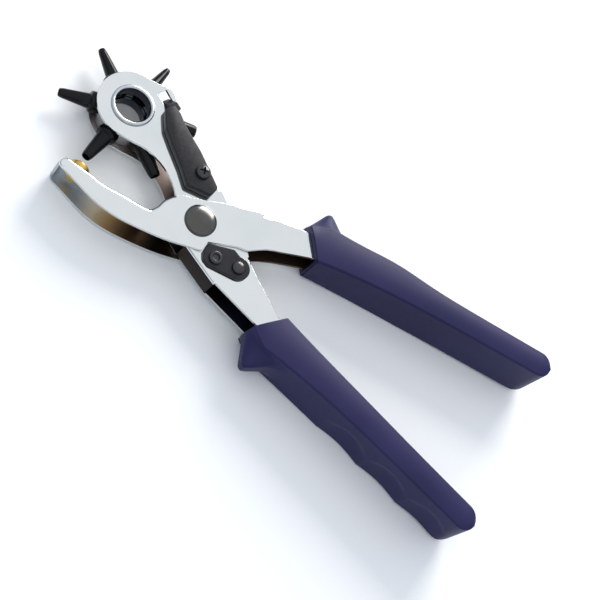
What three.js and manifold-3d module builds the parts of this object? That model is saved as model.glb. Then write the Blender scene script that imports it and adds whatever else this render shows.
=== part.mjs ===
// Revolving punch pliers: two pressed sheet arms cross on one rivet. The punch arm carries a wheel of six
// hollow punch tubes, the anvil arm a brass anvil. Millimetres, +Z up. The origin is on the pivot axis at the
// rivet's back, -X is the head, +X the handles, +Y the side of the anvil arm's handle. Laid down, the pliers
// rest on the undersides of both grips and on the head.
import * as THREE from 'three';
import { mergeVertices } from 'three/addons/utils/BufferGeometryUtils.js';
import Module from 'manifold-3d';

const wasm = await Module();
wasm.setup();

// Sheet and stack, measured across the pliers from the mid-plane
const sheet = 1.2;
const innerHalf = 4.8;
const armGap = 0.2;
const seat = 0.1;
const foldRadius = 1.5;
const punchHalf = innerHalf + sheet;
const anvilInnerHalf = punchHalf + armGap;
const anvilHalf = anvilInnerHalf + sheet;
const rivetBackHead = 0.9;
const mid = anvilHalf + rivetBackHead;

// Wheel and tubes: the wheel's centre is measured from the pivot
const wheelX = -47.3;
const wheelY = 25.9;
const headRadius = 15.0;
const tubeCount = 6;
const tubePhase = 83.9;
const tubeReach = 28.8;
const anvilTube = 3;
const holeFirst = 2.0;
const holeStep = 0.5;
const tubeWall = 0.5;
const tubeFlare = 1.1;
const collarRadius = 4.4;
const collarLength = 3.7;
const stubRadius = 3.1;
const rimRadius = 13.1;
const rimSeat = 12.6;
const rimHalf = innerHalf - 0.3;
const wheelBore = 8.5;
const bushRadius = wheelBore - 0.15;
const bushBore = 7.3;
const bushLip = 9.1;
const bushLipHeight = 1.0;
const bushDepth = 2.6;

// Jaw: how far the anvil arm swings from shut to its stop, and the anvil
const openAngle = 5.5;
const biteGap = 0.25;
const anvilRadius = 4.4;
const anvilHeight = 3.7;
const anvilStem = 2.4;
const anvilTail = 2.9;

// Pivot rivet and opening spring
const pivotRadius = 4.0;
const pivotGap = 0.1;
const rivetHeadRadius = 6.7;
const rivetDome = 1.9;
const wireRadius = 0.75;
const coilRadius = pivotRadius + 0.6 + wireRadius;
const coilTurns = 3;
const coilGap = 0.55;

// Lock spring that holds the wheel, its screw and nut
const lockThickness = 1.5;
const lockWidth = 4.0;
const windowWidth = lockWidth + 0.6;
const windowLength = 8.3;
const windowStart = -2.1;
const lockScrewX = -9.8;
const lockScrewY = 18.0;
const screwRadius = 1.5;
const screwHeadRadius = 2.6;
const screwHeadHeight = 1.7;
const nutAcrossFlats = 5.5;
const nutHeight = 2.2;

// Stop plate on the punch arm
const stopRadius = 5.0;
const stopRivetX = 22.6;
const stopRivetY = -7.3;
const stopScrewX = 12.8;
const stopScrewY = -9.7;
const stopHeadRadius = 2.8;
const stopShank = 1.4;
const stopCorner = [7.3, -6.2];
const stopGap = 0.3;

// Handles: angle, middle of the mouth, length and outer belly of each grip
const gripLength = 117.5;
const gripShorter = 3.5;
const punchHandle = { angle: -10.6, x: 44.4, y: -20.9, side: -1, length: gripLength - gripShorter };
const anvilHandle = { angle: 7.9, x: 43.7, y: 25.2, side: 1, length: gripLength };
punchHandle.belly = 0;
anvilHandle.belly = 1.5;

// Grip section: narrow in plan and deep, with upright sides; both sizes grow towards one end
const gripHalfWidth = 5.5;
const gripFlare = 4.0;
const gripFlareLength = 30;
const gripHalfHeight = 11.4;
const gripHeightDrop = 3.0;
const gripHeightRise = 60;
const gripRidge = 1.0;
const gripCrown = 0.6;
const gripEndRound = 6;
const gripEndDrop = 1.2;
const bellyAt = 36;
const bellyLength = 16;
const mouthOffset = -1.3;
const mouthSlant = 0.575;
const lipWidth = 5.6;
const lipSlope = 0.45;

// Finger guard and finger grooves
const guardPeak = 17.0;
const guardAt = 2.5;
const guardSlope = 1.3;
const guardLength = 7.8;
const guardHalf = 5.6;
const grooveCount = 3;
const groovePitch = 22.5;
const grooveFirst = 43;
const grooveDepth = 1.1;

// Tangs inside the grips
const tangLength = 75;
const tangGap = 0.15;
const joggleAt = 30;
const joggleLength = 6;

// Longer than the whole pliers: the reach of a cut that passes right through
const span = 300;

const rad = THREE.MathUtils.degToRad;
const V = (x, y) => new THREE.Vector2(x, y);

// Materials
function finish(color, roughness, metalness) {
  return new THREE.MeshStandardMaterial({ color, roughness, metalness });
}
const chrome = finish(0xd8dcde, 0.12, 1.0);
const brightSteel = finish(0xc4c8cb, 0.2, 1.0);
const blackOxide = finish(0x424246, 0.42, 0.7);
const darkSteel = finish(0x55524e, 0.3, 0.85);
const brass = finish(0xc9a040, 0.28, 1.0);
const springSteel = finish(0x8a8c90, 0.3, 0.95);
const vinyl = finish(0x3a3958, 0.45, 0.0);

// Solids: closed meshes joined and cut
function solid(geometry) {
  const bare = geometry.index ? geometry.toNonIndexed() : geometry.clone();
  bare.deleteAttribute('normal');
  bare.deleteAttribute('uv');
  const merged = mergeVertices(bare, 1e-5);
  const vertProperties = new Float32Array(merged.attributes.position.array);
  const triVerts = new Uint32Array(merged.index.array);
  return new wasm.Manifold(new wasm.Mesh({ numProp: 3, vertProperties, triVerts }));
}

function join(parts) {
  return parts.reduce((whole, part) => whole.add(part));
}

function named(name, body, material) {
  const mesh = body.getMesh();
  const geometry = new THREE.BufferGeometry();
  geometry.setAttribute('position', new THREE.BufferAttribute(new Float32Array(mesh.vertProperties), 3));
  geometry.setIndex(new THREE.BufferAttribute(new Uint32Array(mesh.triVerts), 1));
  geometry.computeVertexNormals();
  const piece = new THREE.Mesh(geometry, material);
  piece.name = name;
  piece.position.z = mid;
  return piece;
}

// Outlines
function arc(x, y, radius, from, to, steps) {
  return Array.from({ length: steps + 1 }, (_, i) => {
    const a = rad(from + (to - from) * i / steps);
    return V(x + radius * Math.cos(a), y + radius * Math.sin(a));
  });
}

function curve(points, steps) {
  return new THREE.SplineCurve(points.map(([x, y]) => V(x, y))).getPoints(steps);
}

function corners(points) {
  return points.map(([x, y]) => V(x, y));
}

// A slab of an outline between two heights, with its rim rounded by round in plan and roundDepth in height
function slab(outline, z0, z1, round = 0, roundDepth = round, segments = 3) {
  const geometry = new THREE.ExtrudeGeometry(new THREE.Shape(outline), {
    depth: z1 - z0 - 2 * roundDepth,
    bevelEnabled: round > 0,
    bevelSize: round,
    bevelOffset: -round,
    bevelThickness: roundDepth,
    bevelSegments: segments,
  });
  return solid(geometry.translate(0, 0, z0 + roundDepth));
}

function rod(x, y, radius, z0, z1, sides = 24) {
  const geometry = new THREE.CylinderGeometry(radius, radius, z1 - z0, sides);
  return solid(geometry.rotateX(Math.PI / 2).translate(x, y, (z0 + z1) / 2));
}

// A turned piece: profile of [radius, height], turned about the vertical through x, y
function turned(profile, x = 0, y = 0, sides = 28) {
  const points = profile.map(([r, h]) => V(r, h));
  return solid(new THREE.LatheGeometry(points, sides).rotateX(Math.PI / 2).translate(x, y, 0));
}

// A strip of sheet that follows an edge, its thickness laid to the left of the direction of travel
function edgeStrip(points, thickness) {
  const inner = points.map((p, i) => {
    const a = points[Math.max(i - 1, 0)];
    const b = points[Math.min(i + 1, points.length - 1)];
    const along = b.clone().sub(a).normalize();
    return V(p.x - along.y * thickness, p.y + along.x * thickness);
  });
  const outer = points.map((p, i) => p.clone().sub(inner[i]).multiplyScalar(0.5).add(p));
  return outer.concat(inner.reverse());
}

// A point in a handle's own frame: s along the grip from its mouth, t outwards from its middle
function onHandle(handle, s, t) {
  const a = rad(handle.angle);
  const x = handle.x + s * Math.cos(a) - handle.side * t * Math.sin(a);
  const y = handle.y + s * Math.sin(a) + handle.side * t * Math.cos(a);
  return [x, y];
}

// Where a point of the shut anvil arm lies when the arm rests against its stop
function opened([x, y]) {
  const p = V(x, y).rotateAround(V(0, 0), rad(openAngle));
  return [p.x, p.y];
}

// A point given from the wheel's centre
function byWheel(x, y) {
  return [wheelX + x, wheelY + y];
}

function tubeAngle(index) {
  return tubePhase + index * 360 / tubeCount;
}

// The anvil's face when open, and the direction that it faces
const shutFace = byWheel(
  (tubeReach + biteGap) * Math.cos(rad(tubeAngle(anvilTube))),
  (tubeReach + biteGap) * Math.sin(rad(tubeAngle(anvilTube))),
);
const anvilFace = opened(shutFace);
const anvilUp = tubeAngle(anvilTube) + 180 + openAngle;
const upX = Math.cos(rad(anvilUp));
const upY = Math.sin(rad(anvilUp));

function byAnvil(across, up) {
  return [anvilFace[0] + across * upY + up * upX, anvilFace[1] - across * upX + up * upY];
}

// A point of the jaw: a share of the way from the pivot to the anvil's face, and so far towards the belly
function byJaw(share, below) {
  const [x, y] = anvilFace;
  const length = Math.hypot(x, y);
  return [share * x - below * y / length, share * y + below * x / length];
}

// The tangs that run inside the grips
const tangOuter = [[0, 2.6], [20, 3.0], [tangLength, 3.6]];
const foldEnd = tangLength - 2;
const tangFoot = [1, -7.8];
const tangInner = [[tangLength, -3.6], [20, -5.4], tangFoot];

function tangEdge(handle, edge) {
  return edge.map(([s, t]) => onHandle(handle, s, t));
}

// The punch arm's outline, from the head down the throat side to the tang and back up the outer side
const throatEdge = curve([
  byWheel(-0.5, -headRadius + 0.2), byWheel(6.8, -13.9), byWheel(14.5, -12.7), byWheel(22.8, -14.3),
  [-17.6, 7.8], [-12.6, 2.6], [-9.4, -3.0], [-5.6, -8.4], [0.3, -11.8],
], 20);
const flangeEnd = [17.9, -18.8];
const flangeEdge = corners([[0.3, -11.8], flangeEnd]);
const tailStart = [22.6, -3.6];
const crossingEdge = curve([tailStart, [17.2, 3.0], [11.4, 9.6], [5.5, 14.9], [0.2, 18.7]], 10);
const neckEdge = curve([
  [0.2, 18.7], [-11.3, 24.0], byWheel(27.3, 2.9), byWheel(21.3, 6.3), byWheel(14.7, 11.5),
], 14);
const shoulder = curve([
  byWheel(14.7, 11.5), byWheel(13.4, 14.2), byWheel(10.9, 16.5), byWheel(7.1, 17.2), byWheel(2.4, 15.6),
], 10);

function punchOutline() {
  const head = arc(wheelX, wheelY + 0.2, headRadius, 92, 266, 24);
  const tail = corners([[18.6, -18.3], ...tangEdge(punchHandle, tangOuter)]);
  const back = corners(tangEdge(punchHandle, tangInner));
  return [
    ...head.slice(0, -1), ...throatEdge.slice(0, -1), ...flangeEdge, ...tail, ...back,
    ...crossingEdge, ...neckEdge.slice(1), ...shoulder.slice(1, -1),
  ];
}

// The window in the front cheek where the lock spring's nose reaches the wheel
const noseAngle = 151;
const noseReach = rimRadius + 2.8;
const noseFrom = 43.7;
const [noseX, noseY] = byWheel(noseReach * Math.cos(rad(noseFrom)), noseReach * Math.sin(rad(noseFrom)));

function byNose(along, across) {
  const a = rad(noseAngle);
  return [
    noseX + along * Math.cos(a) + across * Math.sin(a),
    noseY + along * Math.sin(a) - across * Math.cos(a),
  ];
}

function windowOutline() {
  const w = windowWidth / 2;
  const end = windowStart + windowLength;
  return corners([byNose(windowStart, -w), byNose(end, -w), byNose(end, w), byNose(windowStart, w)]);
}

// Pressed channel: an outline in sheet with webs along some edges and open between its cheeks elsewhere
function channel(outline, webs, half, inner, folds) {
  const sharp = slab(outline, -half, half);
  const rounded = slab(outline, -half, half, foldRadius);
  const foldZone = join(folds.map((zone) => slab(zone, -half - 1, half + 1)));
  const skin = sharp.subtract(foldZone).add(rounded.intersect(foldZone));
  const webBody = join(webs.map((web) => slab(web, -inner - 1, inner + 1)));
  const room = slab(box(-span, span, -span, span), -inner, inner);
  return { skin, webBody, room };
}

function box(x0, x1, y0, y1) {
  return corners([[x0, y0], [x1, y0], [x1, y1], [x0, y1]]);
}

function punchArm() {
  const outline = punchOutline();
  const sweep = tubeReach + 0.6;
  const neckWeb = neckEdge.filter((p) => p.distanceTo(V(wheelX, wheelY)) > sweep).slice(0, -1);
  const tailWeb = corners([...tangEdge(punchHandle, tangInner), tailStart]);
  const webs = [edgeStrip(neckWeb, sheet), edgeStrip(tailWeb, sheet), edgeStrip(flangeEdge, sheet)];
  const folds = [
    box(neckWeb[neckWeb.length - 1].x, neckWeb[0].x, 10, 40),
    corners([
      [tailStart[0], 6], [tailStart[0], -10],
      onHandle(punchHandle, foldEnd, 0), onHandle(punchHandle, foldEnd, -30),
    ]),
    box(0.6, flangeEnd[0] - 0.6, -26, -9),
  ];
  const { skin, webBody, room } = channel(outline, webs, punchHalf, innerHalf, folds);
  const cuts = [
    room.subtract(webBody),
    rod(0, 0, pivotRadius + pivotGap, -mid, mid),
    rod(wheelX, wheelY, bushRadius + 0.1, -mid, mid, 40),
    slab(windowOutline(), 0, mid),
    rod(lockScrewX, lockScrewY, screwRadius + 0.1, 0, mid),
    rod(stopScrewX, stopScrewY, stopShank + 0.1, 0, mid),
    rod(stopRivetX, stopRivetY, stopShank + 0.1, 0, mid),
  ];
  return skin.subtract(join(cuts));
}

// The anvil arm's edges, in order round it: nose and belly, notch, underside, tang, crossing and jaw
const notchEdge = corners([opened([7.24, -6.05]), opened([17.9, -1.25])]);
const notchFoot = V(stopCorner[0] - stopGap, notchEdge[0].y - 0.45);
const bellyEdge = curve([
  byAnvil(-5.4, -anvilHeight), byAnvil(-7.9, -anvilHeight - 0.9), byAnvil(-8.9, -anvilHeight - 3.0),
  byAnvil(-7.6, -anvilHeight - 5.0), byJaw(1.09, 8.9), byJaw(0.968, 11.4), byJaw(0.807, 14.5),
  byJaw(0.631, 16.0), byJaw(0.45, 15.9), byJaw(0.206, 14.8), [2, -12.5], [notchFoot.x - 0.3, -10.4],
], 32);
const noseSteps = 7;
const underEdge = curve([[22.4, 1.9], [28.5, 7.6], [35.4, 12.0], onHandle(anvilHandle, ...tangFoot)], 8);
const heel = onHandle(anvilHandle, -7.2, 1.8);
const heelFoot = [22.4, 20.9];
const topEdge = curve([
  heel, heelFoot, [17.0, 19.2], [12.2, 16.6], [5.5, 14.0], [-3.4, 8.6], byJaw(0.23, -5.9), byJaw(0.314, -1.5),
  byJaw(0.349, 2.7),
], 24);
const jawEdge = curve([
  byJaw(0.349, 2.7), byJaw(0.39, 5.6), byJaw(0.464, 6.2), byJaw(0.634, 5.8), byJaw(0.792, 5.8),
  byAnvil(5.4, -anvilHeight),
], 15).slice(1);

function anvilOutline() {
  const inner = corners(tangEdge(anvilHandle, tangInner)).reverse().slice(1);
  const outer = corners(tangEdge(anvilHandle, tangOuter)).reverse();
  return [...bellyEdge, notchFoot, ...notchEdge, ...underEdge, ...inner, ...outer, ...topEdge, ...jawEdge];
}

// Side view of the anvil arm: its cheeks step in towards the grip, so both grips are alike
function joggled(full) {
  const stepIn = anvilHalf - punchHalf;
  const stepEnd = joggleAt + joggleLength;
  const half = [[-span, full], [joggleAt, full], [stepEnd, full - stepIn], [span, full - stepIn]];
  const outline = corners([...half, ...half.map(([s, z]) => [s, -z]).reverse()]);
  const geometry = new THREE.ExtrudeGeometry(new THREE.Shape(outline), { depth: span, bevelEnabled: false });
  return solid(geometry.translate(0, 0, -span / 2).rotateX(Math.PI / 2).rotateZ(rad(20)));
}

function anvilArm() {
  const outline = anvilOutline();
  const jawWeb = jawEdge.concat(bellyEdge.slice(0, noseSteps));
  const tailWeb = corners([[20.5, 20.3], heelFoot, heel, ...tangEdge(anvilHandle, tangOuter)]).reverse();
  const webs = [edgeStrip(jawWeb, sheet), edgeStrip(tailWeb, sheet)];
  const folds = [
    corners([[-75, -30], [-54, -15.2], [-18, -14], [-10, -5.5], [-16, 10], [-75, 10]]),
    corners([
      [20.5, 40], [20.5, 14], [44, 22],
      onHandle(anvilHandle, foldEnd, 0), onHandle(anvilHandle, foldEnd, 20),
    ]),
  ];
  const { skin, webBody, room } = channel(outline, webs, anvilHalf, anvilInnerHalf, folds);
  const hollow = room.intersect(joggled(anvilInnerHalf)).subtract(webBody);
  const stemHole = rod(0, 0, anvilStem + 0.1, -3, anvilHeight + 3);
  return skin.intersect(joggled(anvilHalf))
    .subtract(hollow)
    .subtract(rod(0, 0, pivotRadius + pivotGap, -mid, mid))
    .subtract(onAnvilAxis(stemHole));
}

// Turns a piece whose face is at height 0, and whose heights run down from it, onto the anvil's axis
function onAnvilAxis(body) {
  const [x, y] = anvilFace;
  return body.rotate([90, 0, 0]).rotate([0, 0, anvilUp - 90]).translate([x, y, 0]);
}

function anvil() {
  const under = anvilHeight - seat;
  const profile = [
    [0, 0], [anvilRadius - 0.5, 0], [anvilRadius, 0.5], [anvilRadius, under], [anvilStem, under],
    [anvilStem, anvilHeight + sheet + seat], [anvilTail, anvilHeight + sheet + seat],
    [anvilTail, anvilHeight + sheet + 1.4], [anvilTail - 0.6, anvilHeight + sheet + 1.9],
    [0, anvilHeight + sheet + 1.9],
  ];
  return onAnvilAxis(turned(profile));
}

// Wheel: a ring with six bores and six flat seats for the tubes' collars
function punchWheel() {
  const ring = turned([
    [wheelBore, -rimHalf], [rimRadius - 0.6, -rimHalf], [rimRadius, -rimHalf + 0.6],
    [rimRadius, rimHalf - 0.6], [rimRadius - 0.6, rimHalf], [wheelBore, rimHalf], [wheelBore, -rimHalf],
  ], wheelX, wheelY, 42);
  const cuts = [];
  for (let i = 0; i < tubeCount; i += 1) {
    const bore = rod(0, 0, stubRadius + 0.15, wheelBore - 3, rimRadius + 2, 18);
    const spot = rod(0, 0, collarRadius + 0.25, rimSeat, rimRadius + 2, 18);
    cuts.push(onTubeAxis(bore.add(spot), i));
  }
  return ring.subtract(join(cuts));
}

function onTubeAxis(body, index) {
  return body.rotate([0, 90, 0]).rotate([0, 0, tubeAngle(index)]).translate([wheelX, wheelY, 0]);
}

// Punch tube: a stub in the rim, a thick collar and a tapered tube with a sharp mouth, bored right through
function punchTube(index) {
  const bore = (holeFirst + holeStep * index) / 2;
  const tip = bore + tubeWall;
  const root = Math.min(tip + tubeFlare, collarRadius - 0.6);
  const relief = Math.min(bore + 0.5, stubRadius - 0.6);
  const collarBase = rimSeat + seat;
  const collarTop = collarBase + collarLength;
  return onTubeAxis(turned([
    [relief, wheelBore + 0.5], [stubRadius, wheelBore + 0.5], [stubRadius, collarBase],
    [collarRadius - 0.3, collarBase], [collarRadius, collarBase + 0.3], [collarRadius, collarTop - 0.6],
    [collarRadius - 0.6, collarTop], [root, collarTop], [tip, tubeReach - 1.4], [bore + 0.12, tubeReach],
    [bore, tubeReach], [bore, tubeReach - 5], [relief, tubeReach - 6.5], [relief, wheelBore + 0.5],
  ], 0, 0, 18), index);
}

// Flanged bush: the wheel turns on one in each cheek, and the punched discs leave through them
function wheelBush(side) {
  const lip = punchHalf + seat;
  const inside = innerHalf - bushDepth;
  const profile = [
    [bushBore, inside], [bushRadius, inside], [bushRadius, lip], [bushLip, lip],
    [bushLip, lip + bushLipHeight * 0.5], [bushLip - 0.5, lip + bushLipHeight],
    [bushBore + 0.6, lip + bushLipHeight],
    [bushBore, lip + bushLipHeight * 0.4], [bushBore, inside],
  ];
  const bush = turned(profile, wheelX, wheelY, 36);
  return side > 0 ? bush : bush.mirror([0, 0, 1]);
}

// Pivot rivet: domed head in front, flat head at the back that the pliers rest on
function pivotRivet() {
  const front = anvilHalf + seat;
  return turned([
    [0, -mid], [rivetHeadRadius - 0.2, -mid], [rivetHeadRadius, -mid + 0.2],
    [rivetHeadRadius, -anvilHalf - seat],
    [pivotRadius, -anvilHalf - seat], [pivotRadius, front], [rivetHeadRadius, front],
    [rivetHeadRadius, front + 0.5], [rivetHeadRadius - 1.0, front + 1.1],
    [rivetHeadRadius - 3.2, front + rivetDome - 0.2], [0, front + rivetDome],
  ], 0, 0, 36);
}

// Opening spring: coils round the rivet between the punch arm's cheeks, one leg on that arm's flange and
// one under the anvil arm's web
class SpringPath extends THREE.Curve {
  constructor(legA, legB) {
    super();
    this.legA = legA;
    this.legB = legB;
    this.pitch = wireRadius * 2 + coilGap;
    this.startAngle = this.tangentAngle(legA, 1);
    this.endAngle = this.tangentAngle(legB, -1) + 2 * Math.PI * coilTurns;
  }

  // The angle on the coil where a straight leg to the given point leaves at a tangent
  tangentAngle([x, y], turn) {
    const distance = Math.hypot(x, y);
    return Math.atan2(y, x) + turn * Math.acos(coilRadius / distance);
  }

  getPoint(u, target = new THREE.Vector3()) {
    const legShare = 0.12;
    const height = this.pitch * (this.endAngle - this.startAngle) / (2 * Math.PI);
    const k = THREE.MathUtils.clamp((u - legShare) / (1 - 2 * legShare), 0, 1);
    const angle = this.startAngle + (this.endAngle - this.startAngle) * k;
    const z = height * (k - 0.5);
    target.set(coilRadius * Math.cos(angle), coilRadius * Math.sin(angle), z);
    if (u < legShare) {
      target.lerp(new THREE.Vector3(this.legA[0], this.legA[1], z), 1 - u / legShare);
    } else if (u > 1 - legShare) {
      target.lerp(new THREE.Vector3(this.legB[0], this.legB[1], z), (u - 1 + legShare) / legShare);
    }
    return target;
  }
}

function openingSpring() {
  const away = sheet + wireRadius + 0.3;
  const flange = flangeEdge[1].clone().sub(flangeEdge[0]).normalize();
  const root = flangeEdge[0].clone().lerp(flangeEdge[1], 0.7)
    .add(V(-flange.y, flange.x).multiplyScalar(away));
  const web = V(...heel).sub(V(...heelFoot)).normalize();
  const toe = V(...heelFoot).lerp(V(...heel), 0.3).add(V(web.y, -web.x).multiplyScalar(away));
  const path = new SpringPath([root.x, root.y], [toe.x, toe.y]);
  console.log(`opening spring: least gap between turns ${leastGap(path).toFixed(2)} mm`);
  const section = new THREE.Shape(arc(0, 0, wireRadius, 0, 300, 5));
  return solid(new THREE.ExtrudeGeometry(section, { steps: 66, extrudePath: path, bevelEnabled: false }));
}

// The least gap that the wire leaves to itself, measured between points at least a third of a turn apart
function leastGap(path) {
  const points = path.getPoints(400);
  const apart = Math.ceil(points.length / (coilTurns * 3));
  let least = Infinity;
  for (let i = 0; i < points.length; i += 1) {
    for (let j = i + apart; j < points.length; j += 1) {
      least = Math.min(least, points[i].distanceTo(points[j]));
    }
  }
  return least - 2 * wireRadius;
}

// Lock spring: a flat leaf on the front cheek whose nose bends down through the window to the wheel
function lockSpring() {
  const low = punchHalf + seat;
  const high = low + lockThickness;
  const w = lockWidth / 2;
  const blade = slab([
    ...corners([byNose(-3.5, -w), byNose(-3.5, w)]),
    ...curve([byWheel(19.8, 7.2), byWheel(27.3, 2.6), [-15.2, 26.2], [-11.1, 23.6], [-1.6, 17.6]], 12),
    ...arc(-3.2, 14.4, 2.2, 25, -75, 5),
    ...corners([[-11.4, 9.9]]),
    ...curve([[-12.6, 10.2], [-18.1, 15.2], [-31.4, 25.6], byNose(-7.5, -w - 0.4)], 8),
  ], low, high, 0.25, 0.25, 1);
  const fall = lockThickness + 1.3;
  const side = new THREE.Shape(corners([
    [-4.2, low], [windowStart + 0.3, low], [1.5, low - fall], [1.5, innerHalf - 1.6], [2.9, innerHalf - 1.6],
    [2.9, low - fall + 1.1], [-2.4, high], [-4.2, high],
  ]));
  const tongue = solid(new THREE.ExtrudeGeometry(side, { depth: lockWidth, bevelEnabled: false })
    .translate(0, 0, -w).rotateX(Math.PI / 2).rotateZ(rad(noseAngle)).translate(noseX, noseY, 0));
  return blade.add(tongue).subtract(rod(lockScrewX, lockScrewY, screwRadius + 0.1, 0, mid));
}

function lockScrew() {
  const under = punchHalf + seat + lockThickness + seat;
  const head = turned([
    [0, innerHalf - nutHeight - 0.6], [screwRadius, innerHalf - nutHeight - 0.6], [screwRadius, under],
    [screwHeadRadius, under], [screwHeadRadius, under + screwHeadHeight * 0.5],
    [screwHeadRadius * 0.72, under + screwHeadHeight * 0.9], [0, under + screwHeadHeight],
  ], lockScrewX, lockScrewY, 20);
  const slot = new THREE.BoxGeometry(screwHeadRadius * 1.15, 0.6, 2);
  slot.rotateZ(rad(20)).translate(lockScrewX, lockScrewY, under + screwHeadHeight);
  const crossing = new THREE.BoxGeometry(0.6, screwHeadRadius * 1.15, 2);
  crossing.rotateZ(rad(20)).translate(lockScrewX, lockScrewY, under + screwHeadHeight);
  return head.subtract(solid(slot).add(solid(crossing)));
}

function lockNut() {
  const outer = nutAcrossFlats / Math.sqrt(3);
  const top = innerHalf - seat;
  const hex = rod(lockScrewX, lockScrewY, outer, top - nutHeight, top, 6);
  return hex.subtract(rod(lockScrewX, lockScrewY, screwRadius + 0.1, -mid, mid));
}

// Stop plate: its straight top edge stops the anvil arm when shut and its left edge when open
function stopPlate() {
  const outline = [
    ...corners([[9.2, -13.7], [11.4, -14.4]]),
    ...arc(stopRivetX, stopRivetY, stopRadius, -80, 108, 14),
    ...corners([[17.6, -1.5], stopCorner, [stopCorner[0], -10.4]]),
  ];
  return slab(outline, punchHalf + seat, anvilHalf, 0.25, 0.25, 1)
    .subtract(rod(stopScrewX, stopScrewY, stopShank + 0.1, 0, mid))
    .subtract(rod(stopRivetX, stopRivetY, stopShank + 0.1, 0, mid));
}

function stopFastener(x, y, headProfile) {
  const tail = innerHalf - seat;
  return turned([
    [0, tail - 0.9], [stopHeadRadius - 0.9, tail - 0.9], [stopHeadRadius - 0.7, tail], [stopShank, tail],
    [stopShank, anvilHalf + seat], ...headProfile.map(([r, h]) => [r, anvilHalf + seat + h]),
  ], x, y, 20);
}

function stopScrew() {
  const r = stopHeadRadius;
  const head = [[r, 0], [r, 0.6], [r - 0.4, 0.9], [r * 0.55, 0.9], [r * 0.45, 0.1], [0, 0.1]];
  return stopFastener(stopScrewX, stopScrewY, head);
}

function stopRivet() {
  const r = stopHeadRadius;
  const head = [[r, 0], [r, 0.4], [r * 0.8, 1.0], [r * 0.45, 1.35], [0, 1.45]];
  return stopFastener(stopRivetX, stopRivetY, head);
}

// The grip's sizes at a distance s from its mouth
function gripHeight(s) {
  const short = THREE.MathUtils.clamp(1 - s / gripHeightRise, 0, 1);
  return gripHalfHeight - gripHeightDrop * short ** 2;
}

function gripWidth(s) {
  return gripHalfWidth + gripFlare * Math.exp(-s / gripFlareLength);
}

function outerWidth(handle, s) {
  const belly = handle.belly * Math.exp(-(((s - bellyAt) / bellyLength) ** 2));
  const lip = lipWidth + lipSlope * (s + lipWidth / 2);
  return Math.min(gripWidth(s) + belly, lip);
}

function guardReach(handle, s) {
  if (s < guardAt) {
    return guardPeak - guardSlope * (guardAt - s) - outerWidth(handle, s);
  }
  return (guardPeak - outerWidth(handle, guardAt)) * Math.exp(-(((s - guardAt) / guardLength) ** 2));
}

function grooveDip(s) {
  const along = (s - grooveFirst) / groovePitch;
  return along > 0 && along < grooveCount ? grooveDepth * Math.abs(Math.sin(Math.PI * along)) : 0;
}

// One ring of the grip, counted round from its lower outer edge, as [t, height] pairs. Each point of the outer
// side has its height, its share of the guard and its share of the groove.
function gripSection(handle, s, grooves) {
  const past = THREE.MathUtils.clamp((s - handle.length + gripEndRound) / gripEndRound, 0, 1);
  const shrink = Math.sqrt(1 - past ** 2);
  const inner = gripWidth(s) * shrink;
  const outer = outerWidth(handle, s) * shrink;
  const high = gripHeight(s) - gripEndDrop * (1 - shrink);
  const low = gripHeight(s);
  const dip = grooves ? grooveDip(s) : 0;
  const r = Math.min(gripRidge, inner / 3);
  const guard = guardReach(handle, s);
  const side = [
    [-guardHalf - 0.8, 0, 1], [-guardHalf, 0.5, 1], [-guardHalf + 1, 0.93, 1], [-guardHalf / 2, 1, 0.95],
    [0, 1, 0.6],
    [guardHalf / 2, 1, 0.15], [guardHalf - 1, 0.93, 0], [guardHalf, 0.5, 0], [guardHalf + 0.8, 0, 0],
  ];
  const crown = (t) => high - gripCrown * (t / inner) ** 2;
  const round = (t, h, turn) => [0, 45, 90].map((step) => {
    const a = rad(turn + step);
    return [t + r * Math.cos(a), h + r * Math.sin(a)];
  });
  return [
    ...round(outer - dip - r, r - low, -90), ...side.map(([h, g, d]) => [outer + guard * g - dip * d, h]),
    ...round(outer - r, high - gripCrown - r, 0),
    ...[0.5, 0, -0.5].map((k) => [k * inner, crown(k * inner)]),
    ...round(r - inner, high - gripCrown - r, 90), ...round(r - inner, r - low, 180),
  ];
}

function spread(from, to, steps) {
  return Array.from({ length: steps + 1 }, (_, i) => from + (to - from) * i / steps);
}

// A closed body through rings of equal count, each a list of [x, y, z]; a mirrored side winds the other way
function loft(rings, side) {
  const count = rings[0].length;
  const last = rings.length - 1;
  const middle = (ring) => [0, 1, 2].map((k) => ring.reduce((sum, p) => sum + p[k], 0) / count);
  const points = [...rings.flat(), middle(rings[0]), middle(rings[last])];
  const faces = [];
  for (let j = 0; j < count; j += 1) {
    const next = (j + 1) % count;
    for (let i = 0; i < last; i += 1) {
      const [a, b] = [i * count + j, i * count + next];
      faces.push([a, b, a + count], [b, b + count, a + count]);
    }
    faces.push([points.length - 2, next, j], [points.length - 1, last * count + j, last * count + next]);
  }
  const geometry = new THREE.BufferGeometry();
  geometry.setAttribute('position', new THREE.Float32BufferAttribute(points.flat(), 3));
  geometry.setIndex(faces.flatMap((face) => (side > 0 ? face : face.reverse())));
  return solid(geometry);
}

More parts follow.
